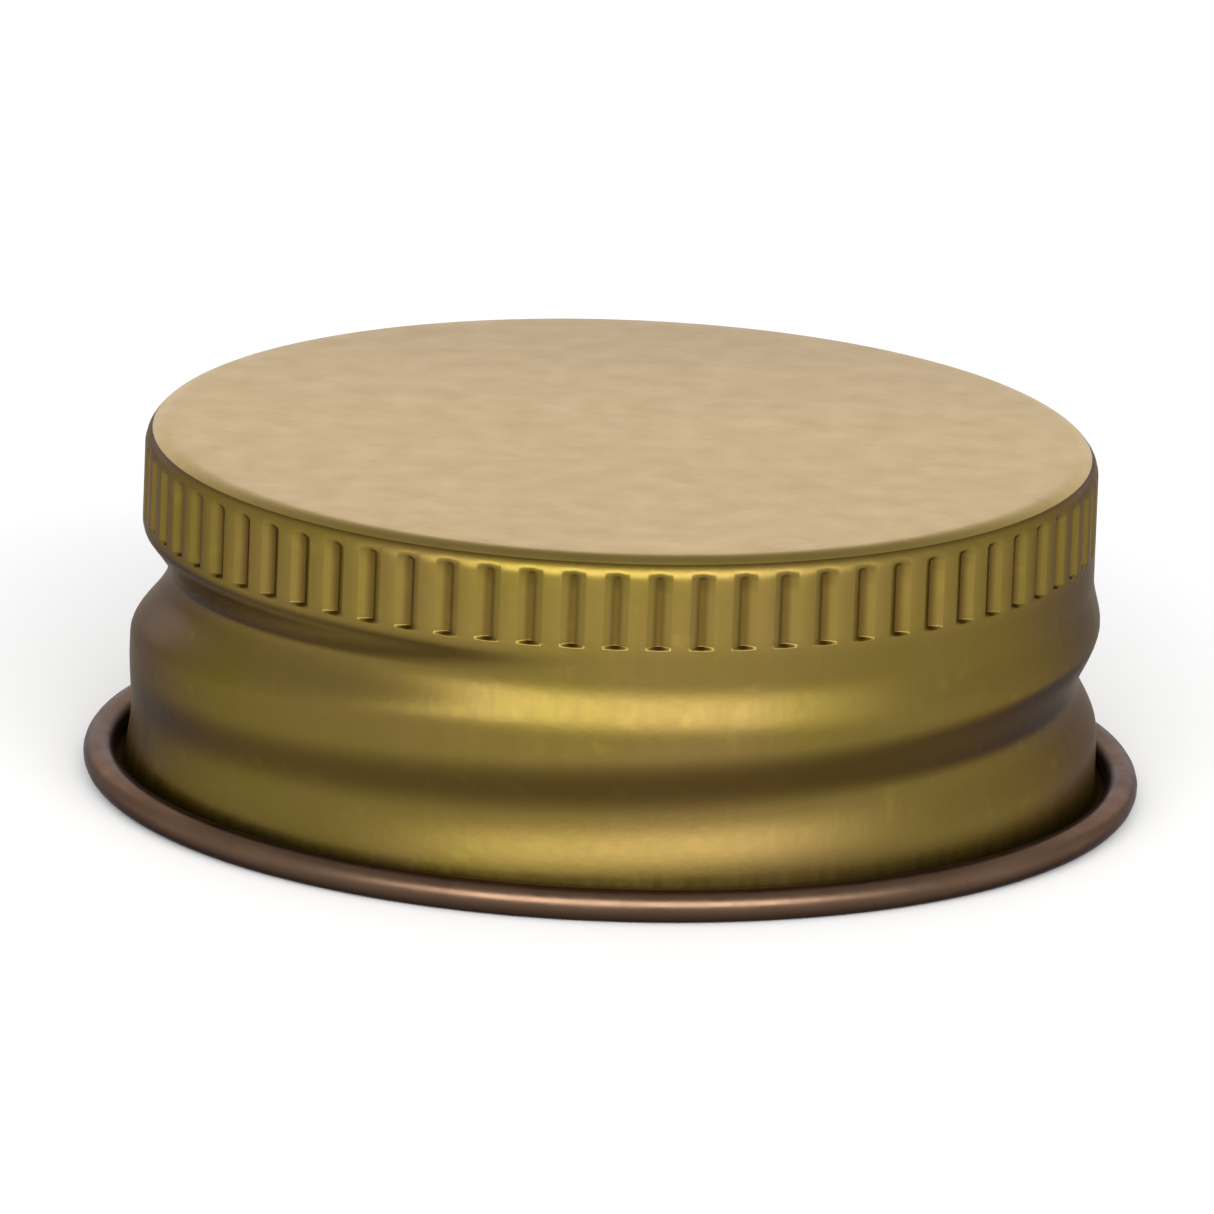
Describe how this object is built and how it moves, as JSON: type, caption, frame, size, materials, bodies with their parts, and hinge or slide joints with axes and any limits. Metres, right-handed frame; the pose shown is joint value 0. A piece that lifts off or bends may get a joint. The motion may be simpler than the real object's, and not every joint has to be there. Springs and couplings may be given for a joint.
{
  "type": "screw cap",
  "caption": "Gold lacquered metal screw cap with knurled skirt, rolled thread, outward curl and a sealing disc inside.",
  "frame": {"origin": "centre of the curl's foot, on the plane the cap stands on, mouth down", "axes": "+Z along the cap's axis, from the open mouth to the panel; the thread is right-handed"},
  "size_m": [0.0318, 0.0318, 0.0109],
  "materials": {
    "gold_lacquer": "satin",
    "liner_board": "matte"
  },
  "bodies": {
    "root": {"cap_shell": "gold_lacquer", "liner": "liner_board"}
  },
  "joints": []
}
